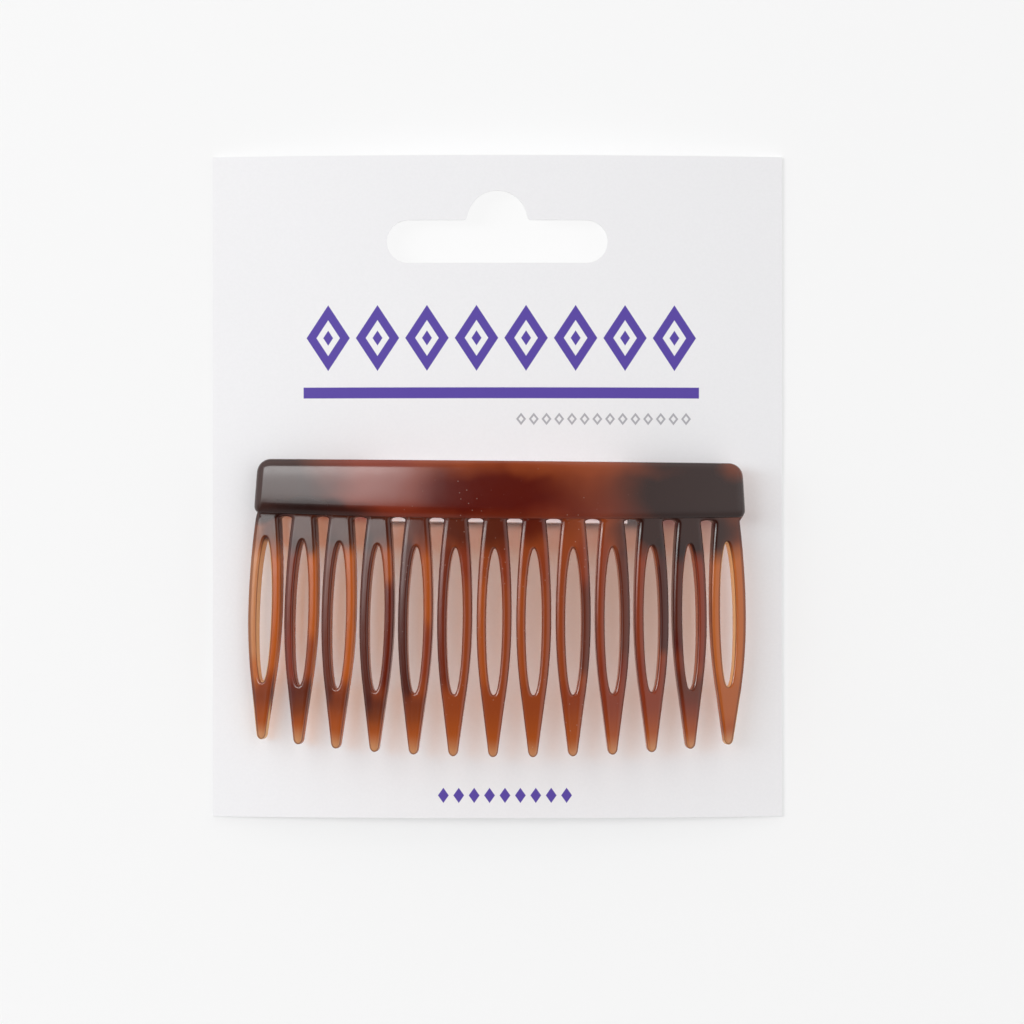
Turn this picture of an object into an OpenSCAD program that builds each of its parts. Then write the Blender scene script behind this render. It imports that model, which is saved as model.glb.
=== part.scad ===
// Side comb on a display card: a bowed comb with slotted teeth, held by a pad on a gently bowed card.
// The card lies on the long edges of its back, and the comb faces up.

/* [Card] */
// Width of the card, across its bow
card_w = 85.5; // [80:0.5:95]
// Height of the card
card_h = 99; // [95:0.5:115]
// Thickness of the card
card_t = 0.5; // [0.4:0.05:0.8]
// Rise of the card's middle over its two long edges
card_rise = 4; // [3:0.5:5]

/* [Hanging slot] */
// Width of the hanging slot's two arms, end to end
hang_w = 33; // [30:0.5:36]
// Height of the arms
hang_arm_h = 6.4; // [5.6:0.1:7]
// Height from the foot of the arms to the top of the bump
hang_h = 10.8; // [10:0.1:12]
// Radius of the bump in the middle of the slot
hang_bump_r = 4.5; // [4:0.05:5]
// Distance from the card's upper edge to the top of the bump
hang_drop = 5.3; // [4:0.1:8]

/* [Comb] */
// Radius of the comb's bow, at the front face of the teeth
bow_r = 112; // [108:1:130]
// Number of teeth
tooth_count = 13; // [9:2:13]
// Distance between neighbouring teeth along the bow
tooth_pitch = 5.81; // [5.6:0.01:5.85]
// Angle by which each tooth fans out from its inner neighbour
tooth_fan = 0.27; // [0:0.01:0.3]
// Distance from the card's middle up to the top edge of the bar
bar_top = 3.75; // [0:0.05:6]
// Height of the bar at its middle
bar_h = 8.45; // [8:0.05:10]
// Width of the bar, end to end, seen from the front
bar_w = 73.4; // [72.8:0.1:74]
// Thickness of the bar
bar_t = 3.4; // [3:0.1:4]
// Radius of the bar's long edges
bar_edge_r = 0.9; // [0.5:0.1:1.2]
// Radius of the bar's two upper corners, seen from the front
bar_corner_r = 2; // [1.5:0.1:2.5]
// Height by which the front of the bar stands proud of the teeth
bar_proud = 0.7; // [0.4:0.1:1]
// Distance from the bar's foot down to where the flat faces of the teeth start
face_start = 0.5; // [0.2:0.1:0.8]

/* [Teeth] */
// Length of the middle tooth's flat face
tooth_l = 34.85; // [33:0.05:36]
// Thickness of a tooth where it leaves the bar
tooth_t = 2.2; // [2:0.1:2.6]
// Thickness of a tooth at its tip
tip_t = 1.4; // [1.2:0.1:2]
// Distance by which the tips curve down toward the card
tip_drop = 0.8; // [0.2:0.1:1]
// Half the width of a tooth at its widest
tooth_half_w = 2.6; // [2.4:0.05:2.6]
// Distance from the start of a tooth's face to its widest place
tooth_wide_at = 14.8; // [14:0.1:16]
// Distance from the start of a tooth's face to its straight taper
taper_from = 26.6; // [26:0.1:28]

/* [Tooth slots] */
// Half the width of a tooth's slot at its widest
slot_half_w = 1.2; // [1:0.05:1.3]
// Distance from the start of a tooth's face to the upper end of its slot
slot_from = 4.05; // [4:0.05:6]
// Distance from the start of a tooth's face to the lower end of its slot
slot_to = 25.65; // [22:0.05:25.8]

/* [Pad] */
// Width of the pad behind the bar
pad_w = 39; // [20:0.5:42]
// Distance by which the pad's lower edge reaches below the bar
pad_below = 0.75; // [0.2:0.05:1]
// Distance from the bar's top edge down to the pad's upper edge
pad_above = 1.5; // [1:0.1:4]

/* [Hidden] */
$fn = 96;

// Gap between two pieces that lie against each other, and reach of a cutting shape past its face
seat = 0.1;
over = 2;

// Bow of the card: a cylinder along Y, with its axis below the card
card_r = (pow(card_w / 2, 2) + pow(card_rise, 2)) / (2 * card_rise);
card_axis_z = card_rise - card_r;

// Place of the comb on the card: leaning a little to the left on its pad, and turned a little.
// The bar's left end, at end_angle from the bow's top, rests on the card and sets the comb's height.
comb_lean = -1.8;
comb_turn = -0.55;
bow_axis_x = 3.2;
bar_shift = 0.4;
bar_back_r = bow_r + bar_proud - bar_t;
end_angle = asin((bar_w / 2 - bar_shift) / bar_back_r) - comb_lean;
end_x = bow_axis_x - bar_back_r * sin(end_angle);
card_top_at_end = card_axis_z + sqrt(pow(card_r + card_t, 2) - pow(end_x, 2));
bow_axis_z = card_top_at_end + seat - bar_back_r * cos(end_angle);

// Toward the ends of the comb the bar's foot rises and the teeth get shorter
mid_tooth = (tooth_count - 1) / 2;
foot_rise = 0.6;
face_rise = 0.8;
end_shrink = 0.032;
bar_flare = 0.6;
bar_foot_corner_r = 1.1;

// Tooth outline: one arc above the widest place, a tighter one below it, then a straight taper
upper_arc_r = 132;
lower_arc_r = 78;
taper_slope = (taper_from - tooth_wide_at) / lower_arc_r;
tip_half_w = 0.75;
tip_reach = 1;
root_in_bar = 2.2;
bow_half_angle = 24;
cut_depth = 8;
side_steps = 6;
corner_steps = 4;
slot_steps = 10;
shell_steps = 4;

// A tooth's distance from the middle one, from 0 to 1, and its angle around the bow
function outness(i) = abs(i - mid_tooth) / mid_tooth;
function tooth_angle(i) = (i - mid_tooth) * tooth_pitch / bow_r * 180 / PI;
function tooth_rise(i) = face_rise * pow(outness(i), 2);
function tooth_scale(i) = 1 - end_shrink * pow(outness(i), 2);

// Half the width of a tooth at a distance v below the start of its face
function arc_half_w(v) =
    tooth_half_w - pow(v - tooth_wide_at, 2) / (2 * (v < tooth_wide_at ? upper_arc_r : lower_arc_r));
function half_w(v) =
    v < taper_from ? arc_half_w(v) : arc_half_w(taper_from) - (v - taper_from) * taper_slope;

// Ends of a tooth's slot: toward the ends of the comb both climb a little
slot_climb = 0.45;
slot_shrink = 0.022;
function slot_head(i) = slot_from - slot_climb * pow(outness(i), 2);
function slot_foot(i) = slot_to * (1 - slot_shrink * pow(outness(i), 2));

// Half the width of a slot, from its upper end at u = -1 to its blunter lower end at u = 1
upper_bluntness = 0.54;
lower_bluntness = 0.44;
function slot_half(u) = slot_half_w * pow(max(0, 1 - u * u), u < 0 ? upper_bluntness : lower_bluntness);

// Front face of the teeth and their thickness at a distance v below the start of the face
function face_r(v) = bow_r - tip_drop * pow(max(0, v) / tooth_l, 2);
function thickness(v) = tooth_t + (tip_t - tooth_t) * max(0, v) / tooth_l;

// Points of an oval arc and of a round one, and a closed outline from one side and its mirror image
function oval(cx, cy, rx, ry, from, to, steps) =
    [for (k = [0:steps]) let (a = from + (to - from) * k / steps) [cx + rx * cos(a), cy + ry * sin(a)]];
function arc(cx, cy, r, from, to, steps) = oval(cx, cy, r, r, from, to, steps);
function mirrored(side) =
    concat(side, [for (k = [len(side) - 1:-1:0]) if (side[k][0] != 0) [-side[k][0], side[k][1]]]);

// Outline of a tooth with length factor k, hanging down from y = 0, and of the slot in tooth i
function tooth_side(k) = concat(
    [for (s = [0:side_steps]) let (v = -root_in_bar + (taper_from + root_in_bar) * s / side_steps)
        [half_w(v), -v * k]],
    oval(0, tip_reach - tooth_l * k, tip_half_w, tip_reach, -10, -90, corner_steps)
);
function slot_side(i) = [
    for (s = [0:slot_steps])
        let (u = -cos(180 * s / slot_steps))
        [slot_half(u), -(slot_head(i) + slot_foot(i) + u * (slot_foot(i) - slot_head(i))) / 2]
];

// Front outline of the bar: round corners, ends that flare downward, and a foot that rises toward the ends
bar_head = face_start + bar_h;
function foot_y(x) = face_start + foot_rise * pow(x / (bar_w / 2), 2);
foot_steps = 8;
foot_reach = bar_w / 2 - bar_foot_corner_r;
bar_side = concat(
    [for (s = [0:foot_steps]) let (x = foot_reach * s / foot_steps) [x, foot_y(x)]],
    arc(foot_reach, foot_y(bar_w / 2) + bar_foot_corner_r, bar_foot_corner_r, -60, 0, corner_steps),
    arc(bar_w / 2 - bar_flare - bar_corner_r, bar_head - bar_corner_r, bar_corner_r, 0, 90, corner_steps)
);

// Section of the bar across its length, radius against height, with round edges
bar_front_r = bar_back_r + bar_t;
bar_section = concat(
    arc(bar_front_r - bar_edge_r, bar_head - bar_edge_r, bar_edge_r, 0, 90, corner_steps),
    arc(bar_back_r + bar_edge_r, bar_head - bar_edge_r, bar_edge_r, 90, 180, corner_steps),
    arc(bar_back_r + bar_edge_r, face_start + bar_edge_r, bar_edge_r, 180, 270, corner_steps),
    arc(bar_front_r - bar_edge_r, face_start + bar_edge_r, bar_edge_r, 270, 360, corner_steps)
);

// Section of the teeth along their length, from inside the bar to past the tips
shell_end = tooth_l + over;
shell_v = [-root_in_bar, for (s = [0:shell_steps]) shell_end * s / shell_steps];
shell_section = concat(
    [for (v = shell_v) [face_r(v), -v]],
    [for (k = [len(shell_v) - 1:-1:0]) let (v = shell_v[k]) [face_r(v) - thickness(v), -v]]
);

// Outline of the card's hanging slot: two round-ended arms and a bump with its small fillets
hang_foot = card_h / 2 - hang_drop - hang_h;
arm_r = hang_arm_h / 2;
bump_y = hang_foot + hang_h - hang_bump_r;
fillet_r = 0.6;
fillet_x = sqrt(pow(hang_bump_r + fillet_r, 2) - pow(hang_foot + hang_arm_h + fillet_r - bump_y, 2));
fillet_a = atan2(hang_foot + hang_arm_h + fillet_r - bump_y, fillet_x);
arc_steps = 12;
hang_side = concat(
    arc(hang_w / 2 - arm_r, hang_foot + arm_r, arm_r, -90, 90, arc_steps),
    arc(fillet_x, hang_foot + hang_arm_h + fillet_r, fillet_r, -90, -180 + fillet_a, corner_steps),
    arc(0, bump_y, hang_bump_r, fillet_a, 90, arc_steps)
);

// A section revolved about the bow's axis, which runs along Y, to past both ends of the comb
module around_bow(section) {
    rotate([-90, 0, 0])
        rotate([0, 0, -90 - bow_half_angle])
            rotate_extrude(angle = 2 * bow_half_angle, $fn = 360)
                polygon(section);
}

// Carries the comb from its bow's axis to its place on the card
module on_card() {
    translate([bow_axis_x, bar_top - bar_head, bow_axis_z])
        rotate([0, 0, comb_turn])
            rotate([0, comb_lean, 0])
                children();
}

// Carries an outline to one tooth's place, as a prism across the teeth
module at_tooth(i) {
    rotate([0, tooth_angle(i), 0])
        translate([0, tooth_rise(i), bow_r - cut_depth])
            rotate([0, 0, tooth_fan * (i - mid_tooth)])
                linear_extrude(cut_depth + over)
                    children();
}

module bar() {
    intersection() {
        around_bow(bar_section);
        translate([bar_shift, 0, bar_back_r / 2])
            linear_extrude(bar_back_r)
                polygon(mirrored(bar_side));
    }
}

module teeth() {
    difference() {
        intersection() {
            around_bow(shell_section);
            for (i = [0:tooth_count - 1])
                at_tooth(i) polygon(mirrored(tooth_side(tooth_scale(i))));
        }
        for (i = [0:tooth_count - 1])
            at_tooth(i) polygon(mirrored(slot_side(i)));
    }
}

module comb() {
    color("saddlebrown")
        on_card() {
            bar();
            teeth();
        }
}

module along_card(r, reach = 0) {
    translate([0, card_h / 2 + reach, card_axis_z])
        rotate([90, 0, 0])
            cylinder(r = r, h = card_h + 2 * reach, $fn = 720);
}

module card_outline() {
    difference() {
        square([card_w, card_h], center = true);
        polygon(mirrored(hang_side));
    }
}

module card() {
    color("lavender")
        intersection() {
            difference() {
                along_card(card_r + card_t);
                along_card(card_r, over);
            }
            translate([0, 0, -over])
                linear_extrude(card_rise + card_t + 2 * over)
                    card_outline();
        }
}

module pad() {
    pad_foot = bar_top - bar_h - pad_below;
    pad_h = bar_h + pad_below - pad_above;
    color("white")
        difference() {
            intersection() {
                on_card()
                    rotate([90, 0, 0])
                        cylinder(r = bar_back_r - seat, h = 4 * bar_h, center = true, $fn = 720);
                translate([0, pad_foot, 0])
                    rotate([0, 0, comb_turn])
                        translate([-pad_w / 2, 0, 0])
                            cube([pad_w, pad_h, 4 * card_rise]);
            }
            along_card(card_r + card_t + seat);
        }
}

comb();
card();
pad();
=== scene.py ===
"""A tortoiseshell side comb on its display card, dressed for an overhead studio photograph."""

import logging
import math
from dataclasses import dataclass, field
from enum import Enum

import bmesh
import bpy
from mathutils import Matrix, Vector


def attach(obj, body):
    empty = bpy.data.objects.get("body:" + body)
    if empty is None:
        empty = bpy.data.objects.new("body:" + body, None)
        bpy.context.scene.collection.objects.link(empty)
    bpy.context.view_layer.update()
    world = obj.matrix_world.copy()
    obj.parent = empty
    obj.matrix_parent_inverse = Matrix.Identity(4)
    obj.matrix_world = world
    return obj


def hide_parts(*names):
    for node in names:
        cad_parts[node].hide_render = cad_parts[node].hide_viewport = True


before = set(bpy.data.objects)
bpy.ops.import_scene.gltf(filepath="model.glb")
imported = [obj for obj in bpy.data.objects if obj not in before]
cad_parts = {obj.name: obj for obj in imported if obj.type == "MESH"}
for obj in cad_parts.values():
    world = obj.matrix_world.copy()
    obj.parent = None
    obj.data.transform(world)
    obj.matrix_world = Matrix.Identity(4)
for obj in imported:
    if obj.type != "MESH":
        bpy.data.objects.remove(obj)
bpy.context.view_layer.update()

MM = 0.001
WELD = 0.0005
BODY = "root"
LOG = logging.getLogger("side_comb")
Colour = tuple[float, float, float]



class Shade:
    """A number socket whose Python operators add Math nodes to its tree."""

    def __init__(self, bench: "NodeBench", socket: bpy.types.NodeSocket) -> None:
        """Wrap a socket of the bench's tree."""
        self.bench = bench
        self.socket = socket

    def _math(self, operation: str, *operands: "Shade | float") -> "Shade":
        """Add one Math node over the operands."""
        return self.bench.shade("ShaderNodeMath", {"operation": operation}, dict(enumerate(operands)))

    def __add__(self, other: "Shade | float") -> "Shade":
        """Sum."""
        return self._math("ADD", self, other)

    def __radd__(self, other: float) -> "Shade":
        """Sum with a number on the left."""
        return self._math("ADD", other, self)

    def __sub__(self, other: "Shade | float") -> "Shade":
        """Difference."""
        return self._math("SUBTRACT", self, other)

    def __rsub__(self, other: float) -> "Shade":
        """Difference from a number on the left."""
        return self._math("SUBTRACT", other, self)

    def __mul__(self, other: "Shade | float") -> "Shade":
        """Product."""
        return self._math("MULTIPLY", self, other)

    def __rmul__(self, other: float) -> "Shade":
        """Product with a number on the left."""
        return self._math("MULTIPLY", other, self)

    def __truediv__(self, other: "Shade | float") -> "Shade":
        """Quotient."""
        return self._math("DIVIDE", self, other)

    def __pow__(self, other: float) -> "Shade":
        """Power."""
        return self._math("POWER", self, other)

    def __abs__(self) -> "Shade":
        """Size without the sign."""
        return self._math("ABSOLUTE", self)

    def __neg__(self) -> "Shade":
        """Opposite."""
        return self._math("MULTIPLY", self, -1.0)

    def least(self, other: "Shade | float") -> "Shade":
        """Smaller of the two."""
        return self._math("MINIMUM", self, other)

    def most(self, other: "Shade | float") -> "Shade":
        """Larger of the two."""
        return self._math("MAXIMUM", self, other)

    def rounded(self) -> "Shade":
        """Nearest whole number."""
        return self._math("ROUND", self)

    def arcsine(self) -> "Shade":
        """Angle whose sine this is, in radians."""
        return self._math("ARCSINE", self)

    def wrapped(self, span: float) -> "Shade":
        """Distance to the nearest whole multiple of span."""
        return self._math("PINGPONG", self, span / 2)

    def rise(self, low: float, high: float) -> "Shade":
        """Smooth step from 0 at low to 1 at high."""
        settings = {"interpolation_type": "SMOOTHSTEP"}
        return self.bench.shade("ShaderNodeMapRange", settings, {"Value": self, "From Min": low, "From Max": high})

    def fall(self, low: float, high: float) -> "Shade":
        """Smooth step from 1 at low to 0 at high."""
        settings = {"interpolation_type": "SMOOTHSTEP"}
        values = {"Value": self, "From Min": low, "From Max": high, "To Min": 1.0, "To Max": 0.0}
        return self.bench.shade("ShaderNodeMapRange", settings, values)


class NodeBench:
    """The node tree of one material, light or world, with one method for every kind of node."""

    MIX_COLOUR = {"data_type": "RGBA", "clamp_factor": True}

    def __init__(self, tree: bpy.types.NodeTree) -> None:
        """Start on an emptied tree."""
        self.tree = tree
        tree.nodes.clear()

    def node(self, kind: str, settings: dict | None = None, values: dict | None = None) -> bpy.types.Node:
        """Add a node.

        Args:
            kind: Blender's name for the type of node.
            settings: properties, set first; "stops" fills a colour ramp.
            values: numbers, colours or links of the sockets, by name or place.

        Returns:
            The new node.
        """
        made = self.tree.nodes.new(kind)
        for name, setting in (settings or {}).items():
            if name == "stops":
                self._set_stops(made.color_ramp, setting)
            else:
                setattr(made, name, setting)
        for key, value in (values or {}).items():
            self._fill(made.inputs[key], value)
        return made

    def shade(self, kind: str, settings: dict | None = None, values: dict | None = None, out: int | str = 0) -> Shade:
        """Add a node and wrap one of its outputs."""
        return Shade(self, self.node(kind, settings, values).outputs[out])

    def colour(self, mask: Shade | float, under: object, over: object) -> bpy.types.NodeSocket:
        """Lay one colour over another where the mask is 1."""
        mixed = self.node("ShaderNodeMix", self.MIX_COLOUR, {0: mask, 6: under, 7: over})
        return mixed.outputs[2]

    def place(self) -> tuple[Shade, Shade, Shade]:
        """Object coordinates in millimetres, as three numbers."""
        where = self.node("ShaderNodeTexCoord").outputs["Object"]
        split = self.node("ShaderNodeSeparateXYZ", None, {0: where})
        x, y, z = (Shade(self, split.outputs[i]) / MM for i in range(3))
        return x, y, z

    def noise(self, scale: float, detail: float = 2.0, rough: float = 0.5, stretch: Vector | None = None) -> Shade:
        """Noise over Object coordinates, from 0 to 1.

        Args:
            scale: cycles per metre.
            detail: octaves.
            rough: strength of the finer octaves.
            stretch: factors along the axes, if not the same all round.

        Returns:
            The noise value.
        """
        where = self.node("ShaderNodeTexCoord").outputs["Object"]
        if stretch is not None:
            where = self.node("ShaderNodeMapping", None, {"Vector": where, "Scale": stretch}).outputs[0]
        values = {"Vector": where, "Scale": scale, "Detail": detail, "Roughness": rough}
        return self.shade("ShaderNodeTexNoise", None, values)

    def bump(self, height: Shade, distance: float, strength: float = 1.0) -> bpy.types.NodeSocket:
        """Bumped normal from a height between 0 and 1."""
        values = {"Strength": strength, "Distance": distance, "Height": height}
        return self.node("ShaderNodeBump", None, values).outputs[0]

    def _fill(self, socket: bpy.types.NodeSocket, value: object) -> None:
        """Link or set one input."""
        if isinstance(value, Shade):
            value = value.socket
        if isinstance(value, bpy.types.NodeSocket):
            self.tree.links.new(value, socket)
        elif isinstance(value, tuple) and len(value) == 3 and socket.type == "RGBA":
            socket.default_value = (*value, 1.0)
        else:
            socket.default_value = value

    @staticmethod
    def _set_stops(ramp: bpy.types.ColorRamp, stops: list[tuple[float, Colour]]) -> None:
        """Fill a colour ramp with its stops."""
        while len(ramp.elements) < len(stops):
            ramp.elements.new(1.0)
        for element, (position, tone) in zip(ramp.elements, stops):
            element.position = position
            element.color = (*tone, 1.0)


def new_material(name: str) -> tuple[bpy.types.Material, NodeBench]:
    """Start a material with an empty tree."""
    material = bpy.data.materials.new(name)
    material.use_nodes = True
    return material, NodeBench(material.node_tree)



@dataclass(frozen=True)
class CombBow:
    """The bow that the comb's flat outlines are bent onto, and its place on the card, in millimetres."""

    radius: float = 112.0
    axis_x: float = 3.2
    lean: float = -1.8
    turn: float = -0.55
    bar_top: float = 3.75
    bar_head: float = 8.95
    back_radius: float = 109.3
    bar_half: float = 36.3
    card_rise: float = 4.0
    card_width: float = 85.5
    card_thickness: float = 0.5
    seat: float = 0.1
    pitch: float = 5.81
    fan: float = 0.27

    def axis_height(self) -> float:
        """Height of the bow's axis that seats the bar's left end on the card."""
        card_radius = ((self.card_width / 2) ** 2 + self.card_rise**2) / (2 * self.card_rise)
        end_angle = math.asin(self.bar_half / self.back_radius) - math.radians(self.lean)
        end_x = self.axis_x - self.back_radius * math.sin(end_angle)
        card_top = self.card_rise - card_radius + math.sqrt((card_radius + self.card_thickness) ** 2 - end_x**2)
        return card_top + self.seat - self.back_radius * math.cos(end_angle)

    def to_frame(self) -> Matrix:
        """Matrix from the bow's own millimetres to the frame's metres."""
        place = Matrix.Translation((self.axis_x, self.bar_top - self.bar_head, self.axis_height()))
        turn = Matrix.Rotation(math.radians(self.turn), 4, "Z")
        lean = Matrix.Rotation(math.radians(self.lean), 4, "Y")
        return Matrix.Scale(MM, 4) @ place @ turn @ lean

    def wrap(self, across: float, along: float, height: float) -> Vector:
        """Bend a point of the flat teeth around the bow."""
        angle = across / self.radius
        reach = self.radius + height
        return Vector((reach * math.sin(angle), along, reach * math.cos(angle)))

    def stand(self, across: float, along: float, height: float) -> Vector:
        """Raise a point of the bar onto the bow, with its ends upright."""
        reach = self.radius + height
        return Vector((across, along, math.sqrt(reach**2 - across**2)))

    def tooth_place(self, x: Shade, y: Shade) -> tuple[Shade, Shade]:
        """Which tooth a place is on, counted from the middle one, and how far below the teeth's start."""
        below = (self.bar_top - self.bar_head) - y
        across = (((x - self.axis_x) / self.radius).arcsine() - math.radians(self.lean)) * self.radius
        return across / (below * math.radians(self.fan) + self.pitch), below


class Tone(Enum):
    """Linear colours of the comb's plastic, from clear amber to nearly black."""

    HONEY = (0.6, 0.31, 0.15)
    AMBER = (0.47, 0.125, 0.027)
    ORANGE = (0.45, 0.095, 0.012)
    RUST = (0.27, 0.05, 0.012)
    BRICK = (0.2, 0.026, 0.01)
    OXBLOOD = (0.085, 0.0035, 0.001)
    PLUM = (0.055, 0.009, 0.006)
    UMBER = (0.016, 0.005, 0.004)


@dataclass(frozen=True)
class Cloud:
    """A soft-edged patch of one tone in the plastic, in millimetres on the frame."""

    tone: Tone
    x: float
    y: float
    across: float
    along: float
    strength: float = 1.0
    softness: float = 0.6

    def mask(self, x: Shade, y: Shade) -> Shade:
        """Strength of the patch at a place, from 1 in its middle to 0 past its edge."""
        reach = ((x - self.x) / self.across) ** 2.0 + ((y - self.y) / self.along) ** 2.0
        return (reach ** 0.5).fall(1.0 - self.softness, 1.0 + self.softness) * self.strength


@dataclass(frozen=True)
class Streak:
    """A run of one tone down a rail of a tooth, or down all of it where side is 0."""

    tone: Tone
    tooth: int
    side: int
    start: float
    end: float
    strength: float = 0.9

    def mask(self, tooth: Shade, below: Shade) -> Shade:
        """Strength of the run at a place, between its start and end below the teeth's start."""
        centre = self.tooth - 7 + self.side * 0.31
        half = 0.22 if self.side else 0.5
        beside = abs(tooth - centre).fall(half - 0.08, half + 0.08)
        begun = below.rise(self.start - 1.6, self.start + 1.6)
        return beside * begun * below.fall(self.end - 1.6, self.end + 1.6) * self.strength


BAR_CLOUDS = (
    Cloud(Tone.BRICK, -4.0, -4.2, 30.0, 2.0, 0.75, 0.6),
    Cloud(Tone.OXBLOOD, -1.0, -0.9, 17.5, 3.6, 0.95, 0.5),
    Cloud(Tone.BRICK, -19.0, -1.0, 8.5, 8.0, 0.9, 0.35),
    Cloud(Tone.UMBER, -33.0, -1.0, 9.5, 9.0, 0.93, 0.45),
    Cloud(Tone.UMBER, -25.5, -3.9, 7.5, 1.6, 0.85, 0.5),
    Cloud(Tone.RUST, 13.0, 1.0, 4.6, 2.6, 0.5, 0.8),
    Cloud(Tone.UMBER, 31.0, -1.0, 13.4, 9.0, 0.97, 0.4),
    Cloud(Tone.RUST, 37.0, 3.2, 3.0, 2.0, 0.45),
    Cloud(Tone.RUST, 9.0, 2.6, 12.0, 1.4, 0.55, 0.7),
)

ROOT_CLOUDS = (
    Cloud(Tone.UMBER, -24.6, -6.0, 12.4, 4.0, 0.84, 0.4),
    Cloud(Tone.UMBER, -33.0, -3.9, 6.0, 0.9, 0.9, 0.4),
    Cloud(Tone.PLUM, -3.0, -5.0, 12.0, 4.0, 0.8, 0.5),
    Cloud(Tone.OXBLOOD, 4.6, -5.0, 4.2, 3.2, 0.6, 0.5),
    Cloud(Tone.UMBER, 27.2, -6.5, 9.6, 4.2, 0.95, 0.35),
)

STREAKS = (
    Streak(Tone.AMBER, 1, -1, 0.5, 24.0),
    Streak(Tone.HONEY, 1, -1, 5.0, 20.0, 0.45),
    Streak(Tone.ORANGE, 1, 1, 1.0, 22.0),
    Streak(Tone.PLUM, 1, 0, 24.0, 27.5, 0.3),
    Streak(Tone.OXBLOOD, 2, -1, 2.5, 21.0, 0.65),
    Streak(Tone.BRICK, 2, -1, 16.0, 30.0, 0.9),
    Streak(Tone.ORANGE, 2, 1, 2.5, 17.0),
    Streak(Tone.PLUM, 2, 0, 24.0, 30.0, 0.72),
    Streak(Tone.PLUM, 3, -1, 2.5, 27.0, 0.7),
    Streak(Tone.ORANGE, 3, 1, 2.5, 24.0),
    Streak(Tone.PLUM, 3, 0, 25.0, 28.5, 0.4),
    Streak(Tone.PLUM, 4, -1, 2.5, 29.0, 0.85),
    Streak(Tone.ORANGE, 4, 1, 4.0, 9.0, 0.35),
    Streak(Tone.OXBLOOD, 4, 1, 9.5, 25.0, 0.8),
    Streak(Tone.PLUM, 4, 0, 25.5, 30.6, 0.72),
    Streak(Tone.PLUM, 5, -1, 2.5, 26.0, 0.9),
    Streak(Tone.ORANGE, 5, 1, 4.5, 15.0, 0.6),
    Streak(Tone.BRICK, 5, 1, 16.0, 23.0, 0.6),
    Streak(Tone.PLUM, 5, 0, 25.5, 30.6, 0.42),
    Streak(Tone.OXBLOOD, 6, -1, 3.0, 24.0, 0.65),
    Streak(Tone.BRICK, 6, 1, 3.0, 9.0, 0.7),
    Streak(Tone.ORANGE, 7, -1, 9.0, 24.0, 0.45),
    Streak(Tone.BRICK, 7, 1, 3.0, 10.0, 0.6),
    Streak(Tone.BRICK, 8, 1, 3.0, 9.0, 0.4),
    Streak(Tone.ORANGE, 8, -1, 9.0, 24.0, 0.25),
    Streak(Tone.PLUM, 9, 1, 9.0, 22.0, 0.7),
    Streak(Tone.BRICK, 9, 1, 3.0, 10.0, 0.5),
    Streak(Tone.BRICK, 9, 0, 24.0, 28.0, 0.4),
    Streak(Tone.BRICK, 10, -1, 3.0, 22.0, 0.5),
    Streak(Tone.PLUM, 10, 1, 3.0, 23.0, 0.75),
    Streak(Tone.BRICK, 10, 0, 20.0, 32.5, 0.7),
    Streak(Tone.BRICK, 11, -1, 3.0, 23.0, 0.6),
    Streak(Tone.PLUM, 11, 1, 3.0, 19.5, 0.95),
    Streak(Tone.BRICK, 11, 0, 20.0, 31.0, 0.7),
    Streak(Tone.PLUM, 12, -1, 3.0, 19.0, 0.85),
    Streak(Tone.OXBLOOD, 12, -1, 16.0, 24.0, 0.6),
    Streak(Tone.BRICK, 12, 1, 3.0, 22.0, 0.8),
    Streak(Tone.PLUM, 12, 0, 23.0, 30.0, 0.7),
    Streak(Tone.BRICK, 12, 0, 26.5, 31.5, 0.6),
    Streak(Tone.AMBER, 13, -1, 5.0, 24.0),
    Streak(Tone.AMBER, 13, 1, 4.0, 24.0),
    Streak(Tone.AMBER, 13, 0, 23.0, 30.0, 0.6),
)


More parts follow.
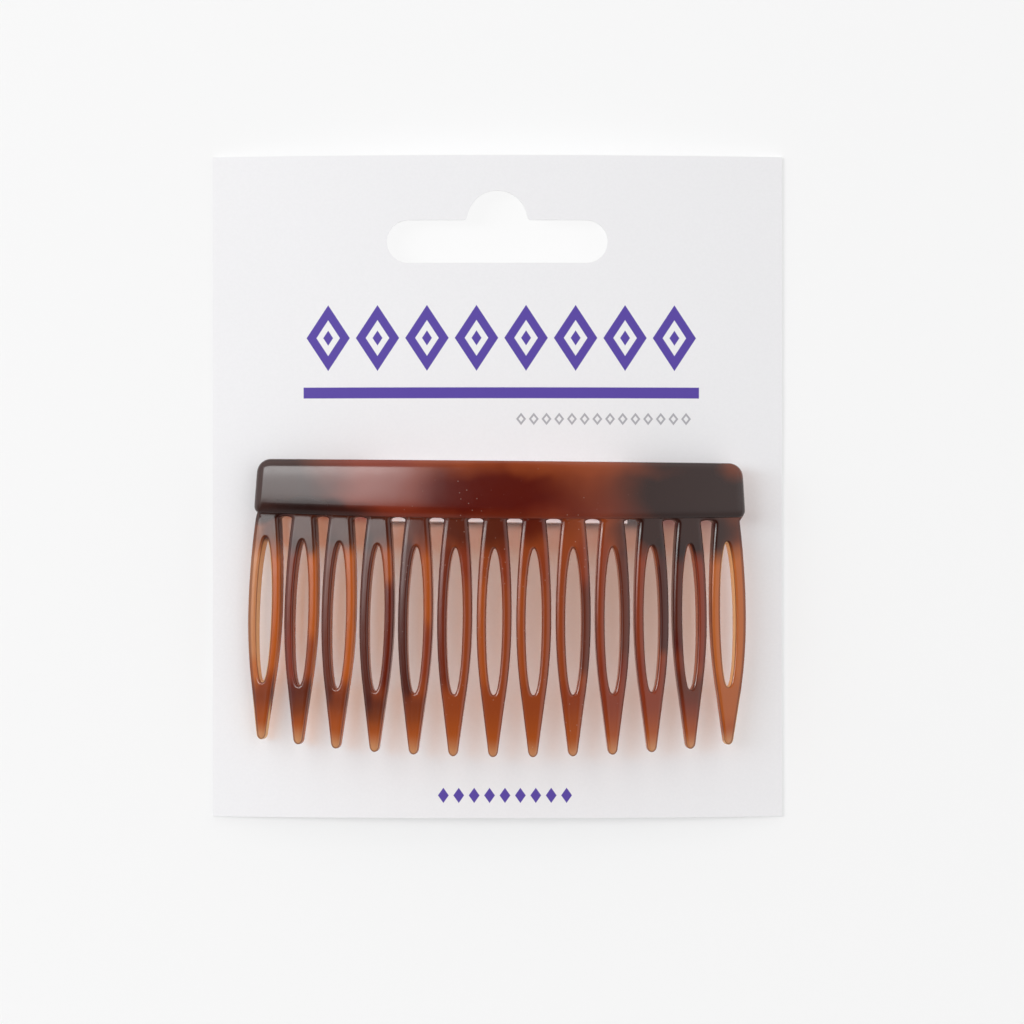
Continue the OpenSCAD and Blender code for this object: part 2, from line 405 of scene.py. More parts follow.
@dataclass(frozen=True)
class Tortoiseshell:
    """Polished, translucent tortoiseshell plastic: amber with rust, oxblood and nearly black clouds."""

    name: str
    clouds: tuple[Cloud, ...]
    glow: Colour
    streaks: tuple[Streak, ...] = ()
    bow: CombBow = CombBow()
    roughness: float = 0.15
    dust: float = 0.28

    def stained(self, bench: NodeBench) -> object:
        """Base colour with its clouds and, on the teeth, its streaks and clear tips, with painted shade on the
        rounded edges and painted glow on the side walls.
        """
        x, y, _ = bench.place()
        warped_x = x + (bench.noise(95.0, 3.0, 0.5) - 0.5) * 5.0
        warped_y = y + (bench.noise(140.0, 2.0, 0.5) - 0.5) * 5.0
        tooth, below = self.bow.tooth_place(x, y)
        wavering = tooth + (bench.noise(230.0, 2.0, 0.5) - 0.5) * 0.2
        drifting = below + (bench.noise(120.0, 2.0, 0.5) - 0.5) * 4.0
        colour = Tone.RUST.value
        for streak in self.streaks:
            colour = bench.colour(streak.mask(wavering, drifting), colour, streak.tone.value)
        for cloud in self.clouds:
            colour = bench.colour(cloud.mask(warped_x, warped_y), colour, cloud.tone.value)
        if not self.streaks:
            return colour
        outness = abs(tooth) / 6.0
        lower = drifting * 0.4 + below * 0.6 + outness * outness * 1.6 - tooth * 0.08
        colour = bench.colour(lower.rise(27.0, 33.0) * 0.5, colour, Tone.ORANGE.value)
        colour = bench.colour(lower.rise(31.5, 35.4) * (outness * 0.25 + 0.72), colour, Tone.HONEY.value)
        facing = bench.node("ShaderNodeSeparateXYZ", None, {0: bench.node("ShaderNodeNewGeometry").outputs["Normal"]})
        upright = abs(Shade(bench, facing.outputs[2]))
        # Painted shade: the teeth's rounded edges are darkened toward plum, standing in for the dark room that they
        # reflect.
        rim = upright.rise(0.1, 0.5) * upright.fall(0.84, 0.93)
        colour = bench.colour(rim * 0.55, colour, Tone.PLUM.value)
        # Painted light: the slots' inner walls turn orange, and pale honey on the end teeth, standing in for light
        # that shines through the plastic.
        wall = upright.fall(0.3, 0.85)
        beside = tooth - tooth.rounded()
        inner = wall * abs(beside).fall(0.2, 0.26) * below.rise(2.4, 3.2)
        lit = bench.colour(outness.rise(0.93, 0.97), Tone.ORANGE.value, (0.9, 0.5, 0.2))
        colour = bench.colour(inner * (outness.rise(0.93, 0.97) * 0.35 + 0.45), colour, lit)
        # Painted light: the right-facing outer walls of the three leftmost teeth are brightened to orange, standing
        # in for light glowing through the plastic.
        outer = beside.rise(0.28, 0.36) * Shade(bench, facing.outputs[0]).rise(0.3, 0.7) * below.rise(2.0, 6.0)
        return bench.colour(outer * tooth.fall(-3.6, -3.2) * 0.5, colour, (0.85, 0.22, 0.035))

    def material(self) -> bpy.types.Material:
        """Build the plastic."""
        material, bench = new_material(self.name)
        colour = self.stained(bench)
        specks = bench.node(
            "ShaderNodeTexVoronoi",
            {"feature": "F1", "voronoi_dimensions": "2D"},
            {"Vector": bench.node("ShaderNodeTexCoord").outputs["Object"], "Scale": 600.0},
        )
        dust = Shade(bench, specks.outputs["Distance"]).fall(0.025, 0.07) * bench.noise(150.0).rise(0.5, 0.62)
        x, _, _ = bench.place()
        colour = bench.colour(dust * abs(x - 1.0).fall(9.0, 22.0) * self.dust, colour, (0.6, 0.45, 0.38))
        values = {
            "Base Color": colour,
            "Roughness": bench.noise(900.0, 2.0) * 0.06 + (self.roughness - 0.03),
            "IOR": 1.48,
            "Normal": bench.bump(bench.noise(110.0, 2.0, 0.4), 0.00005),
        }
        shell = bench.node("ShaderNodeBsdfPrincipled", None, values)
        through = bench.node("ShaderNodeBsdfTransparent", None, {"Color": self.glow})
        ray = bench.node("ShaderNodeLightPath").outputs["Is Shadow Ray"]
        cast = bench.node("ShaderNodeMixShader", None, {0: ray, 1: shell.outputs[0], 2: through.outputs[0]})
        bench.node("ShaderNodeOutputMaterial", None, {"Surface": cast.outputs[0]})
        return material


@dataclass(frozen=True)
class Row:
    """A printed row of lozenges: its middle, how many, and their pitch and half sizes, in millimetres."""

    x: float
    y: float
    count: int
    pitch: float
    across: float
    along: float


@dataclass(frozen=True)
class PrintedCard:
    """Smooth white card with a plain printed rule and a border of lozenges."""

    stock: Colour = (0.865, 0.86, 0.875)
    ink: Colour = (0.095, 0.055, 0.36)
    grey_ink: Colour = (0.42, 0.41, 0.44)
    border: Row = Row(0.6, 22.2, 8, 7.4, 3.3, 5.0)
    foot_row: Row = Row(1.15, -46.1, 9, 2.3, 0.85, 1.2)
    grey_row: Row = Row(15.9, 10.1, 14, 1.9, 0.8, 1.0)

    def material(self) -> bpy.types.Material:
        """Build the card's face, with its print on the upper side."""
        material, bench = new_material("white_card")
        x, y, z = bench.place()
        fibre = bench.noise(2600.0, 4.0, 0.6)
        cloudy = bench.noise(60.0, 2.0)
        stock = bench.colour(fibre.rise(0.35, 0.65) * 0.35, self.stock, tuple(c * 0.955 for c in self.stock))
        stock = bench.colour(cloudy.rise(0.3, 0.7) * 0.15, stock, tuple(c * 0.97 for c in self.stock))
        facing = bench.node("ShaderNodeNewGeometry").outputs["Normal"]
        up = bench.shade("ShaderNodeSeparateXYZ", None, {0: facing}, 2)
        face = up.rise(0.6, 0.8)
        colour = bench.colour(self.purple(x, y) * face, stock, self.ink)
        colour = bench.colour(self.grey(x, y) * face, colour, self.grey_ink)
        surface = bench.node(
            "ShaderNodeBsdfPrincipled",
            None,
            {
                "Base Color": colour,
                "Roughness": 0.62,
                "IOR": 1.4,
                "Normal": bench.bump(fibre, 0.00002, 0.5),
            },
        )
        bench.node("ShaderNodeOutputMaterial", None, {"Surface": surface.outputs[0]})
        return material

    def lozenges(self, x: Shade, y: Shade, row: Row) -> tuple[Shade, Shade]:
        """A row of lozenges: how far out of the nearest one a place is, and whether it is in the row."""
        beside = (x - row.x + row.pitch * (row.count / 2 + 50.5)).wrapped(row.pitch)
        reach = beside / row.across + abs(y - row.y) / row.along
        span = row.pitch * row.count / 2
        return reach, abs(x - row.x).fall(span - 0.02, span + 0.02)

    def purple(self, x: Shade, y: Shade) -> Shade:
        """Where the purple ink is."""
        rule = abs(x - 0.6).fall(29.55, 29.65) * abs(y - 14.0).fall(0.78, 0.86)
        reach, row = self.lozenges(x, y, self.border)
        rings = (reach.fall(0.97, 1.0) * reach.rise(0.52, 0.55)).most(reach.fall(0.21, 0.24)) * row
        foot, foot_row = self.lozenges(x, y, self.foot_row)
        return rule.most(rings).most(foot.fall(0.9, 1.0) * foot_row)

    def grey(self, x: Shade, y: Shade) -> Shade:
        """Where the grey ink is."""
        reach, row = self.lozenges(x, y, self.grey_row)
        return reach.fall(0.85, 1.0) * reach.rise(0.4, 0.55) * row


@dataclass(frozen=True)
class WhiteFoam:
    """Fine closed-cell foam, white and matte, with a painted glow on its upward faces."""

    tone: Colour = (0.86, 0.86, 0.87)

    def material(self) -> bpy.types.Material:
        """Build the foam."""
        material, bench = new_material("white_foam")
        where = bench.node("ShaderNodeTexCoord").outputs["Object"]
        cells = bench.shade("ShaderNodeTexVoronoi", {"feature": "F1"}, {"Vector": where, "Scale": 2800.0})
        tone = bench.colour(cells.rise(0.2, 0.7) * 0.5, self.tone, tuple(c * 0.93 for c in self.tone))
        facing = bench.node("ShaderNodeNewGeometry").outputs["Normal"]
        up = bench.shade("ShaderNodeSeparateXYZ", None, {0: facing}, 2)
        # Painted light: the upward faces glow a little, so that the pad's edge seen under the bar stays bright white.
        glow = bench.colour(up.rise(0.7, 0.9), (0.0, 0.0, 0.0), (0.36, 0.38, 0.385))
        surface = bench.node(
            "ShaderNodeBsdfPrincipled",
            None,
            {
                "Base Color": tone,
                "Roughness": 0.85,
                "IOR": 1.4,
                "Emission Color": glow,
                "Emission Strength": 1.0,
                "Normal": bench.bump(cells, 0.00008, 0.7),
            },
        )
        bench.node("ShaderNodeOutputMaterial", None, {"Surface": surface.outputs[0]})
        return material


@dataclass(frozen=True)
class StudioPaper:
    """Seamless pale paper under the card, lit a little from within so that shadows stay light, with painted light
    under the card's slot: there it is nearly black but glows strongly.
    """

    tone: Colour = (0.56, 0.56, 0.56)
    lift: float = 0.37
    slot_glow: float = 0.86

    def material(self) -> bpy.types.Material:
        """Build the paper."""
        material, bench = new_material("studio_paper")
        x, y, _ = bench.place()
        grain = bench.noise(700.0, 2.0)
        tone = bench.colour(grain * 0.2, self.tone, tuple(c * 0.99 for c in self.tone))
        # Painted light: under the card's slot the paper glows strongly, standing in for light where the card's shadow
        # would fall.
        slot_light_patch = abs(x).fall(18.0, 19.0) * abs(y - 38.5).fall(6.0, 7.0)
        tone = bench.colour(slot_light_patch, tone, (0.1, 0.1, 0.1))
        glow = bench.colour(slot_light_patch, (self.lift,) * 3, (self.slot_glow,) * 3)
        values = {"Base Color": tone, "Roughness": 0.8, "IOR": 1.3, "Emission Color": glow, "Emission Strength": 1.0}
        surface = bench.node("ShaderNodeBsdfPrincipled", None, values)
        bench.node("ShaderNodeOutputMaterial", None, {"Surface": surface.outputs[0]})
        return material


def arc_points(middle: Vector, radii: Vector, start: float, end: float, steps: int) -> list[Vector]:
    """Points along an arc, both ends included.

    Args:
        middle: its centre.
        radii: its reach along x and y, which differ for an oval.
        start: angle of the first point, in degrees.
        end: angle of the last point.
        steps: how many spans it has.

    Returns:
        The points in order.
    """
    turns = [math.radians(start + (end - start) * k / steps) for k in range(steps + 1)]
    return [middle + Vector((radii.x * math.cos(a), radii.y * math.sin(a))) for a in turns]


def inward(before: Vector, after: Vector, hand: int) -> Vector:
    """Unit vector square to the way from one point to another, to the left of it where hand is 1."""
    way = (after - before).normalized()
    return Vector((-way.y, way.x)) * hand


def loft(mesh: bmesh.types.BMesh, rows: list[list[Vector]], closed: bool = True) -> None:
    """Stretch a grid over rows of points.

    Args:
        mesh: the mesh that takes the new faces.
        rows: lists of points, as many in each.
        closed: whether each row runs on from its last point to its first.
    """
    across = len(rows[0]) if closed else len(rows[0]) - 1
    along = len(rows) - 1
    grid = bmesh.ops.create_grid(mesh, x_segments=across, y_segments=along, size=1.0)["verts"]
    for vertex in grid:
        column = round((vertex.co.x + 1) / 2 * across)
        row = round((vertex.co.y + 1) / 2 * along)
        vertex.co = rows[row][column % len(rows[0])]
    bmesh.ops.remove_doubles(mesh, verts=grid, dist=WELD)


def close_holes(mesh: bmesh.types.BMesh) -> None:
    """Fill every open loop of edges with a face that keeps its sharp border."""
    caps = bmesh.ops.edgeloop_fill(mesh, edges=[e for e in mesh.edges if e.is_boundary])["faces"]
    for edge in {e for cap in caps for e in cap.edges}:
        edge.smooth = False


def finish_piece(mesh: bmesh.types.BMesh, name: str, *materials: bpy.types.Material) -> bpy.types.Object:
    """Turn a bmesh in metres into a smooth piece at the origin."""
    data = bpy.data.meshes.new(name)
    mesh.to_mesh(data)
    mesh.free()
    for material in materials:
        data.materials.append(material)
    data.polygons.foreach_set("use_smooth", [True] * len(data.polygons))
    piece = bpy.data.objects.new(name, data)
    bpy.context.scene.collection.objects.link(piece)
    return piece


def weigh_normals(piece: bpy.types.Object) -> None:
    """Keep flat faces flat beside their rounded edges."""
    modifier = piece.modifiers.new("even_faces", "WEIGHTED_NORMAL")
    modifier.weight = 60
    modifier.keep_sharp = True


def report(piece: bpy.types.Object) -> None:
    """Log a finished piece with its size."""
    size = ", ".join(f"{side / MM:.1f}" for side in piece.dimensions)
    LOG.info("%s: %d faces, %s mm", piece.name, len(piece.data.polygons), size)


@dataclass
class Teeth:
    """Thirteen slotted, tapered teeth, in millimetres on the flat."""

    count: int = 13
    pitch: float = 5.81
    fan: float = 0.27
    length: float = 34.85
    thickness: float = 2.2
    tip_thickness: float = 1.4
    tip_drop: float = 0.8
    half_width: float = 2.6
    widest_at: float = 14.8
    taper_from: float = 26.6
    upper_arc: float = 132.0
    lower_arc: float = 78.0
    tip_half: float = 0.75
    tip_reach: float = 1.0
    slot_half: float = 1.2
    slot_from: float = 4.05
    slot_to: float = 25.65
    slot_climb: float = 0.45
    slot_shrink: float = 0.022
    upper_bluntness: float = 0.54
    lower_bluntness: float = 0.44
    rise: float = 0.8
    shrink: float = 0.032
    crest: float = 0.45
    crest_rise: float = -0.02
    arch: float = 0.4
    root_top: float = 2.4
    lip: float = 0.1
    lip_reach: float = 0.4
    lip_rise: float = 0.75
    lip_steps: int = 5
    edge_radius: float = 0.42
    edge_width: float = 0.7
    edge_steps: int = 4
    plateau: float = 1.12
    side_steps: int = 26
    waist_steps: int = 6
    beside: float = 0.9
    last_flank: float = 0.3

    def outness(self, number: int) -> float:
        """Distance of a tooth from the middle one, from 0 to 1."""
        middle = (self.count - 1) / 2
        return abs(number - middle) / middle

    def half(self, v: float) -> float:
        """Half the width of a tooth at a distance v below its start."""
        arc = self.upper_arc if v < self.widest_at else self.lower_arc
        return self.half_width - (v - self.widest_at) ** 2 / (2 * arc)

    def settle(self, number: int, point: Vector) -> Vector:
        """Carry a point of one tooth to the flat comb."""
        offset = number - (self.count - 1) / 2
        turned = point.copy()
        turned.rotate(Matrix.Rotation(math.radians(self.fan * offset), 2))
        return turned + Vector((offset * self.pitch, self.rise * self.outness(number) ** 2))

    def crest_height(self, across: float) -> float:
        """Height of the gap's arched top at a place across the comb."""
        reach = self.pitch * (self.count - 1) / 2
        return self.crest + self.crest_rise * (across / reach) ** 2

    def edge_of(self, number: int, hand: int) -> float:
        """Where a tooth's share of the root ends."""
        return (number + hand * 0.5 - (self.count - 1) / 2) * self.pitch

    def is_outer(self, number: int, hand: int) -> bool:
        """Whether this side of the tooth has no neighbour."""
        return not 0 <= number + hand < self.count

    def width_at(self, below: float) -> float:
        """Width of a tooth's rounded outer edge at a distance below its start."""
        return min(self.edge_width, 0.42 + 0.28 * max(0.0, self.length - below) / 9)

    def rim(self, point: Vector, inner: Vector) -> list[Vector]:
        """Points from the middle of a wall over its rounded edge, to the start of the flat face."""
        turns = [math.pi / 2 * k / self.edge_steps for k in range(self.edge_steps + 1)]
        climb = [(1 - math.cos(a), -self.edge_radius * (1 - math.sin(a))) for a in turns]
        climb.append((self.plateau, 0.0))
        spots = [point.lerp(inner, share).to_3d() + Vector((0, 0, height)) for share, height in climb]
        return [point.to_3d() - Vector((0, 0, self.thickness / 2)), *spots]

    @staticmethod
    def peel(rim: list[Vector]) -> list[list[Vector]]:
        """Columns that end a wall: its rim, taken away point by point."""
        return [[rim[max(j, k)] for k in range(len(rim))] for j in range(len(rim))]

    def tooth_line(self, number: int, hand: int) -> list[Vector]:
        """One side of a tooth on the flat, from its tip to its foot under the bar."""
        scale = 1 - self.shrink * self.outness(number) ** 2
        middle = Vector((0, self.tip_reach - self.length * scale))
        tip = arc_points(middle, Vector((self.tip_half, self.tip_reach)), -90, -10, 7)
        more = self.last_flank if number + hand == self.count else 0.0
        low = Vector((self.half(self.taper_from) + more, -self.taper_from * scale))
        straight = [tip[-1].lerp(low, k / 8) for k in range(1, 8)]
        foot = self.crest_height(self.edge_of(number, hand)) - self.arch
        span = self.taper_from - (self.rise * self.outness(number) ** 2 - foot) / scale
        stations = [self.taper_from - span * k / self.side_steps for k in range(self.side_steps + 1)]
        flank = [Vector((self.half(v) + more, -v * scale)) for v in stations]
        return [self.settle(number, Vector((hand * p.x, p.y))) for p in tip + straight + flank]

    def flare(self, number: int, hand: int, foot: Vector) -> list[Vector]:
        """The root's line on from the foot, to the top of the gap or, on an outer side, straight up."""
        if self.is_outer(number, hand):
            slant = [(0.0, 0.35), (0.15, 0.6), (0.6, 1.3)] if hand > 0 else []
            return [Vector((foot.x + x, y)) for x, y in slant] + [Vector((foot.x - hand * 0.6, self.root_top))]
        edge = self.edge_of(number, hand)
        reach = Vector((edge, self.crest_height(edge))) - foot
        return arc_points(Vector((edge, foot.y)), Vector((-reach.x, reach.y)), 0, 90, 9)[1:]

    def side(self, number: int, hand: int) -> tuple[list[list[Vector]], list[list[Vector]]]:
        """Rims along one side.

        Args:
            number: which tooth, from 0 at the left.
            hand: 1 for the right side, -1 for the left.

        Returns:
            The rims from tip to foot, and those from the foot to the end of the root.
        """
        tooth = self.tooth_line(number, hand)
        points = tooth + self.flare(number, hand, tooth[-1])
        rims = []
        for before, point, after in zip(points, points[1:], points[2:]):
            rims.append(self.rim(point, point + inward(before, after, hand) * self.width_at(-point.y)))
        end = points[-1]
        deeper = Vector((-hand, 0)) if self.is_outer(number, hand) else Vector((0, 1))
        rims.append(self.rim(end, end + deeper * self.edge_width))
        foot = len(tooth) - 1
        return rims[:foot], rims[foot - 1:]

    def waist(self, left: list[Vector], right: list[Vector]) -> list[list[Vector]]:
        """Columns along the line over a tooth between the flat ends of its two feet, from the left."""
        spots = [left[-1].lerp(right[-1], k / self.waist_steps) for k in range(1, self.waist_steps)]
        return [[spot] * len(left) for spot in spots]

    def slot_span(self, number: int) -> tuple[float, float]:
        """Distances of a slot's middle and of its half length, below the tooth's start."""
        outness = self.outness(number) ** 2
        low = self.slot_to * (1 - self.slot_shrink * outness)
        high = self.slot_from - self.slot_climb * outness
        return (low + high) / 2, (low - high) / 2

    def slot_turns(self, number: int, columns: list[list[Vector]]) -> list[float]:
        """Angles around the slot, from its lower end, that lie beside the columns of one side."""
        rise = self.rise * self.outness(number) ** 2
        middle, reach = self.slot_span(number)
        places = [(rise - column[0].y - middle) / reach for column in columns]
        beside = [k for k, place in enumerate(places) if abs(place) < self.beside]
        first, last = beside[0], beside[-1]
        low, high = math.acos(places[first]), math.acos(places[last])
        count = len(places)
        turns = [math.acos(places[k]) if first <= k <= last else 0.0 for k in range(count)]
        for k in range(first):
            turns[k] = low * (k + 1) / (first + 1)
        for k in range(last + 1, count):
            turns[k] = math.pi - (math.pi - high) * (count - k) / (count - last)
        return turns

    def slot_point(self, number: int, turn: float) -> Vector:
        """A point of the slot's outline at an angle from its lower end, to the right of it if positive."""
        middle, reach = self.slot_span(number)
        u = math.cos(turn)
        bluntness = self.lower_bluntness if u > 0 else self.upper_bluntness
        half = math.copysign(self.slot_half * abs(math.sin(turn)) ** (2 * bluntness), turn)
        return self.settle(number, Vector((half, -(middle + u * reach))))

    def halves(self, number: int) -> list[list[list[Vector]]]:
        """The front half of a tooth and that of its root, as rows of points to stretch a grid over."""
        scale = 1 - self.shrink * self.outness(number) ** 2
        tip = self.settle(number, Vector((0, -self.length * scale)))
        right, right_root = self.side(number, 1)
        left, left_root = self.side(number, -1)
        waist = self.waist(left[-1], right[-1])
        centre = self.waist_steps // 2 - 1
        right_columns = [*right[:-1], *self.peel(right[-1]), *reversed(waist[centre + 1:])]
        left_columns = [*left[:-1], *self.peel(left[-1]), *waist[:centre]]
        lowest = self.rim(tip, tip + Vector((0, self.edge_radius)))
        columns = [lowest, *right_columns, waist[centre], *reversed(left_columns)]
        turns = [0.0, *self.slot_turns(number, right_columns), math.pi]
        turns += [-turn for turn in reversed(self.slot_turns(number, left_columns))]
        points = [self.slot_point(number, turn) for turn in turns]
        around = zip(points, points[-1:] + points[:-1], points[1:] + points[:1])
        outer = [point - inward(before, after, 1) * self.edge_radius for point, before, after in around]
        slots = [self.rim(point, beyond)[::-1] for point, beyond in zip(points, outer)]
        tooth = [column + slot for column, slot in zip(columns, slots)]
        root = [*left_root[:0:-1], *self.peel(left_root[0]), *waist]
        root += [*reversed(self.peel(right_root[0])), *right_root[1:]]
        root = [column + self.climb(column[-1]) for column in root]
        return [[list(row) for row in zip(*part)] for part in (tooth, root)]

    def climb(self, start: Vector) -> list[Vector]:
        """Points from the flat face of the root up a hollow onto the bar, and on into it."""
        share = (start.x / (self.pitch * (self.count - 1) / 2)) ** 2
        foot = self.lip_rise * share
        top = max(start.y + 0.05, foot + self.lip_reach)
        points = []
        for step in range(1, self.lip_steps + 1):
            y = start.y + (top - start.y) * math.sin(math.pi / 2 * step / self.lip_steps)
            along = min(1.0, max(0.0, (y - foot) / self.lip_reach))
            points.append(Vector((start.x, y, self.lip * (1 - math.sqrt(1 - along**2)))))
        return points + [Vector((start.x, self.root_top, self.lip))]

    def build(self, mesh: bmesh.types.BMesh, bow: CombBow) -> None:
        """Build all the teeth as one slab with rounded rims, bent onto the bow."""
        for number in range(self.count):
            for rows, closed in zip(self.halves(number), (True, False)):
                loft(mesh, rows, closed)
                loft(mesh, [[Vector((p.x, p.y, -self.thickness - p.z)) for p in row] for row in rows], closed)
        bmesh.ops.remove_doubles(mesh, verts=mesh.verts, dist=WELD)
        close_holes(mesh)
        for vertex in mesh.verts:
            across, along, depth = vertex.co
            v = max(0.0, -along) / self.length
            front = -self.tip_drop * v * v
            thick = self.thickness + (self.tip_thickness - self.thickness) * v
            vertex.co = bow.wrap(across, along, front + depth / self.thickness * thick)


@dataclass(frozen=True)
class Bar:
    """The bar across the top of the comb, in millimetres: crowned, with round edges and corners."""

    half_width: float = 36.1
    flare: float = 0.6
    shift: float = 0.4
    foot: float = 0.38
    foot_rise: float = 0.52
    head: float = 8.95
    front: float = 0.7
    back: float = -2.7
    crown: float = 0.2
    upper_corner: float = 2.0
    lower_corner: float = 1.1
    end_drop: float = 0.8
    end_reach: float = 1.1
    upper_edge: Vector = Vector((0.7, 1.15))
    lower_edge: Vector = Vector((0.6, 1.7))
    back_edge: Vector = Vector((0.9, 0.9))
    end_steps: int = 14
    span_steps: int = 52

    def stations(self) -> list[float]:
        """Distances from the left end to the right one, close together at both ends."""
        near = [self.upper_corner * (1 - math.cos(math.pi / 2 * k / self.end_steps)) for k in range(self.end_steps)]
        full = 2 * self.half_width
        span = full - 2 * self.upper_corner
        inner = [self.upper_corner + span * k / self.span_steps for k in range(self.span_steps + 1)]
        return near + inner + [full - s for s in reversed(near)]

    @staticmethod
    def inset(radius: float, depth: float) -> float:
        """How far a round corner holds the outline back at a depth from the end."""
        if depth >= radius:
            return 0.0
        return radius - math.sqrt(radius**2 - (radius - depth) ** 2)

    def section(self, station: float) -> list[Vector]:
        """The bar's section at a station: height above the teeth against distance along them."""
        depth = min(station, 2 * self.half_width - station)
        across = station - self.half_width
        squeeze = self.inset(self.end_reach, depth) * self.end_drop / self.end_reach
        top = self.head - self.inset(self.upper_corner, depth)
        low = self.foot + self.foot_rise * (across / self.half_width) ** 2 + self.inset(self.lower_corner, depth)
        front = self.front - squeeze
        back = self.back + squeeze
        ease = 0.4 + 0.6 * min(1.0, depth / self.end_reach)
        upper, lower, rear = (r * ease for r in (self.upper_edge, self.lower_edge, self.back_edge))
        points = arc_points(Vector((front - upper.x, top - upper.y)), upper, 0, 90, 8)
        points += arc_points(Vector((back + rear.x, top - rear.y)), rear, 90, 180, 6)
        points += arc_points(Vector((back + rear.x, low + rear.y)), rear, 180, 270, 6)
        points += arc_points(Vector((front - lower.x, low + lower.y)), lower, 270, 360, 10)
        start, end = points[-1], points[0]
        points += [start.lerp(end, k / 8) for k in range(1, 8)]
        middle = (top + low) / 2
        half = (top - low) / 2
        for point in points:
            share = min(1.0, max(0.0, (2 * point.x - front - back) / (front - back)))
            lift = self.crown * (1 - ((point.y - middle) / half) ** 4)
            point.x += lift * share * min(1.0, depth)
        return points

    def build(self, mesh: bmesh.types.BMesh, bow: CombBow) -> None:
        """Loft the bar into the mesh, section by section."""
        rings = []
        for station in self.stations():
            across = station - self.half_width
            points = []
            for height, along in self.section(station):
                widened = 1 + self.flare / self.half_width * (self.head - along) / (self.head - self.foot)
                points.append(bow.stand(across * widened + self.shift, along, height - self.crown))
            rings.append(points)
        loft(mesh, rings)
        close_holes(mesh)


@dataclass
class SideComb:
    """The whole comb: bar and teeth on one bow."""

    bow: CombBow = field(default_factory=CombBow)
    teeth: Teeth = field(default_factory=Teeth)
    bar: Bar = field(default_factory=Bar)
    bar_end: float = 26.0
    bar_tip: float = 33.5
    first_rail: float = 34.9
    last_tooth: float = 31.9
    root_foot: float = -3.5
    finishes: tuple[Tortoiseshell, ...] = (
        Tortoiseshell("tortoiseshell_teeth", ROOT_CLOUDS, (1.06, 0.85, 0.72), STREAKS),
        Tortoiseshell("tortoiseshell_roots", ROOT_CLOUDS, (1.03, 0.67, 0.5), STREAKS),
        Tortoiseshell("tortoiseshell_first_rail", ROOT_CLOUDS, (1.03, 1.0, 0.96), STREAKS),
        Tortoiseshell("tortoiseshell_last_tooth", ROOT_CLOUDS, (0.86, 0.86, 0.84), STREAKS),
        Tortoiseshell("tortoiseshell_bar", BAR_CLOUDS, (0.62, 0.12, 0.05), roughness=0.22),
        Tortoiseshell("tortoiseshell_bar_ends", BAR_CLOUDS, (0.74, 0.46, 0.33), roughness=0.22),
        Tortoiseshell("tortoiseshell_bar_tips", BAR_CLOUDS, (0.75, 0.7, 0.67), roughness=0.22),
    )

    def region(self, face: bmesh.types.BMFace, of_teeth: bool) -> int:
        """Which of the finishes a face has: they differ in the light that they let through."""
        place = face.calc_center_median()
        if not of_teeth:
            return 4 + sum(abs(place.x) > end for end in (self.bar_end, self.bar_tip))
        if place.x < -self.first_rail:
            return 2
        if place.x > self.last_tooth:
            return 3
        return 1 if place.y > self.root_foot else 0

    def build(self) -> bpy.types.Object:
        """Build the comb over its plain solid."""
        mesh = bmesh.new()
        self.teeth.build(mesh, self.bow)
        teeth = set(mesh.faces)
        self.bar.build(mesh, self.bow)
        for face in mesh.faces:
            face.material_index = self.region(face, face in teeth)
        bmesh.ops.transform(mesh, matrix=self.bow.to_frame(), verts=mesh.verts)
        bmesh.ops.recalc_face_normals(mesh, faces=mesh.faces)
        piece = finish_piece(mesh, "tortoiseshell_comb", *(finish.material() for finish in self.finishes))
        weigh_normals(piece)
        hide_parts("comb")
        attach(piece, BODY)
        return piece


@dataclass
class FoamPad:
    """The pad between card and bar, as soft-edged foam over its plain solid."""

    edge: float = 0.35
    finish: WhiteFoam = field(default_factory=WhiteFoam)

    def build(self) -> bpy.types.Object:
        """Round the solid's edges and give it the foam's finish."""
        mesh = bmesh.new()
        mesh.from_mesh(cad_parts["pad"].data)
        bmesh.ops.remove_doubles(mesh, verts=mesh.verts, dist=1e-6)
        flat = [e for e in mesh.edges if len(e.link_faces) == 2 and e.calc_face_angle() < 0.1]
        bmesh.ops.dissolve_edges(mesh, edges=flat, use_verts=False)
        rims = [e for e in mesh.edges if len(e.link_faces) == 2 and e.calc_face_angle() > 0.8]
        bmesh.ops.bevel(
            mesh, geom=rims, offset=self.edge * MM, segments=3, profile=0.5, affect="EDGES", material=-1
        )
        piece = finish_piece(mesh, "foam_pad", self.finish.material())
        weigh_normals(piece)
        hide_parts("pad")
        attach(piece, BODY)
        return piece


@dataclass
class DisplayCard:
    """The card, whose solid stays and takes the printed finish."""

    finish: PrintedCard = field(default_factory=PrintedCard)

    def build(self) -> bpy.types.Object:
        """Dress the card's solid."""
        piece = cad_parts["card"]
        piece.data.materials.clear()
        piece.data.materials.append(self.finish.material())
        return piece



@dataclass(frozen=True)
class Softbox:
    """A flat rectangular light, placed by the angles from straight up that it spans, in degrees."""

    name: str
    left: float
    right: float
    near: float
    far: float
    brightness: float
    distance: float = 2.0

    def build(self) -> bpy.types.Object:
        """Hang the light so that it faces the comb."""
        across = math.radians((self.left + self.right) / 2)
        along = math.radians((self.near + self.far) / 2)
        toward = Vector((math.tan(across), math.tan(along), 1.0)).normalized()
        sideways = Vector((0, 1, 0)).cross(toward).normalized()
        upward = toward.cross(sideways)
        data = bpy.data.lights.new(self.name, "AREA")
        data.shape = "RECTANGLE"
        data.size = 2 * self.distance * math.tan(math.radians(self.right - self.left) / 2)
        data.size_y = 2 * self.distance * math.tan(math.radians(self.far - self.near) / 2)
        data.energy = self.brightness * math.pi * data.size * data.size_y
        light = bpy.data.objects.new(self.name, data)
        place = Matrix((sideways, upward, toward)).transposed().to_4x4()
        place.translation = toward * self.distance
        light.matrix_world = place
        bpy.context.scene.collection.objects.link(light)
        return light


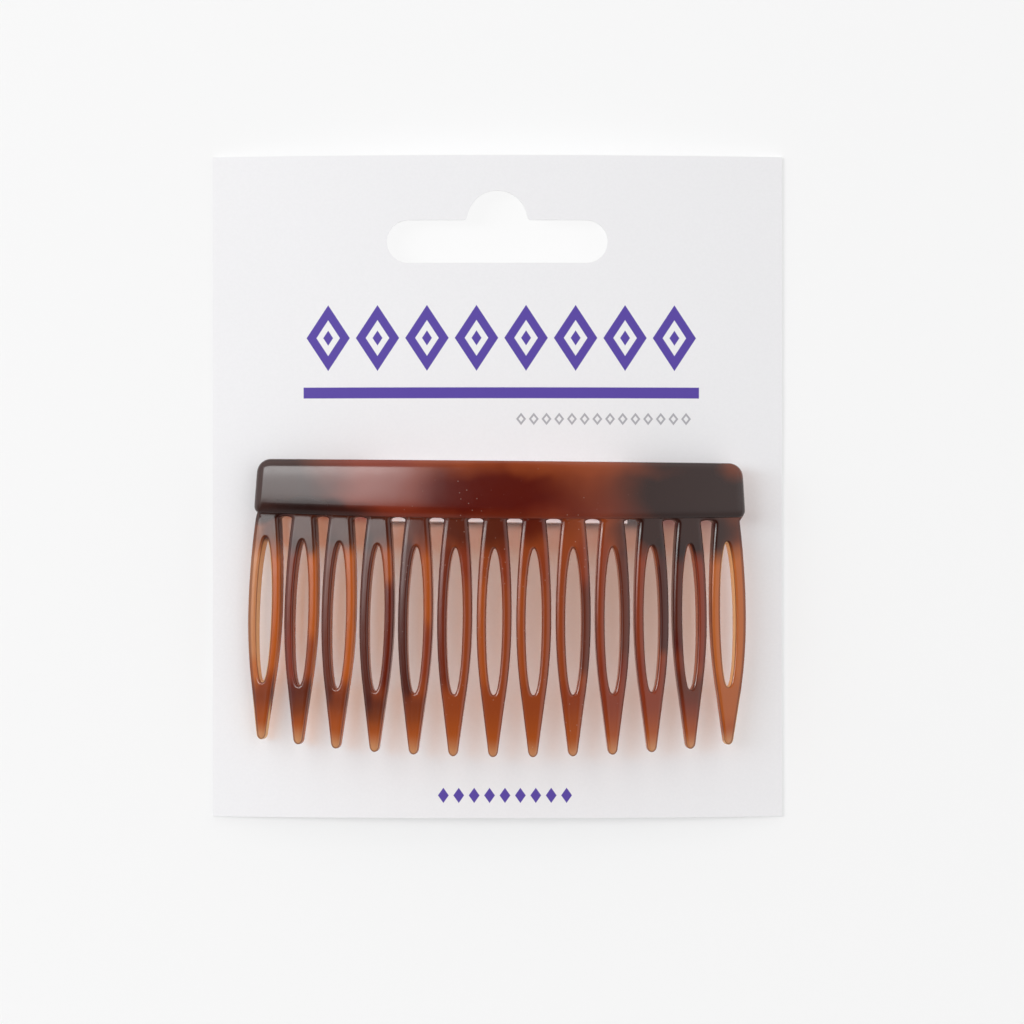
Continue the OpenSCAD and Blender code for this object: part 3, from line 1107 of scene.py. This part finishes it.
@dataclass
class Studio:
    """Floor, lights, surroundings and the overhead camera."""

    camera_x: float = 2.2
    camera_y: float = -3.8
    camera_height: float = 604.5
    lens: float = 141.33
    floor_side: float = 4.0
    softboxes: tuple[Softbox, ...] = (
        Softbox("softbox_skirt", -54.0, -18.8, -2.4, 5.0, 3.1),
        Softbox("softbox_core", -54.0, -18.8, 5.0, 16.0, 8.8),
    )
    room: float = 0.95

    def floor(self) -> bpy.types.Object:
        """Lay the pale floor."""
        mesh = bmesh.new()
        bmesh.ops.create_grid(mesh, x_segments=2, y_segments=2, size=self.floor_side / 2)
        piece = finish_piece(mesh, "studio_floor", StudioPaper().material())
        return piece

    def camera(self) -> bpy.types.Object:
        """Hang the camera straight over the card."""
        data = bpy.data.cameras.new("overhead")
        data.lens = self.lens
        data.sensor_width = 36.0
        data.clip_start = 0.01
        data.clip_end = 20.0
        camera = bpy.data.objects.new("overhead", data)
        camera.location = Vector((self.camera_x, self.camera_y, self.camera_height)) * MM
        bpy.context.scene.collection.objects.link(camera)
        bpy.context.scene.camera = camera
        return camera

    def surroundings(self) -> None:
        """Give the room an even pale light that is dark straight overhead, behind the camera."""
        world = bpy.data.worlds.new("studio_room")
        bpy.context.scene.world = world
        world.use_nodes = True
        bench = NodeBench(world.node_tree)
        toward = bench.node("ShaderNodeTexCoord").outputs["Generated"]
        split = bench.node("ShaderNodeSeparateXYZ", None, {0: toward})
        x, y, up = (Shade(bench, split.outputs[i]) for i in range(3))
        side = x / up.most(0.01)
        front = y / up.most(0.01)
        overhead = side.fall(0.1, 0.34) * side.rise(-0.3, -0.2)
        corner = side.fall(0.1, 0.34) * side.rise(-1.4, -0.9) * front.fall(-0.1, 0.0) * front.rise(-1.4, -0.8)
        near = front.fall(-1.3, -0.3) * 0.55
        far_left = side.fall(-1.2, -0.5) * front.rise(-0.3, 0.3) * 0.45
        right = side.rise(0.3, 1.0) * 0.3
        light = (1.0 - near + far_left + right) * (1.0 - overhead.most(corner) * 0.97) * self.room
        backdrop = bench.node("ShaderNodeBackground", None, {"Color": (1.0, 1.0, 1.0, 1.0), "Strength": light})
        bench.node("ShaderNodeOutputWorld", None, {"Surface": backdrop.outputs[0]})

    def build(self) -> None:
        """Set everything up."""
        self.floor()
        self.camera()
        for softbox in self.softboxes:
            softbox.build()
        self.surroundings()
        settings = bpy.context.scene.view_settings
        settings.view_transform = "Standard"


def main() -> None:
    """Build the studio and the comb on its card."""
    logging.basicConfig(level=logging.INFO, format="%(name)s %(message)s")
    Studio().build()
    for maker in (SideComb(), DisplayCard(), FoamPad()):
        report(maker.build())


if __name__ == "__main__":
    main()
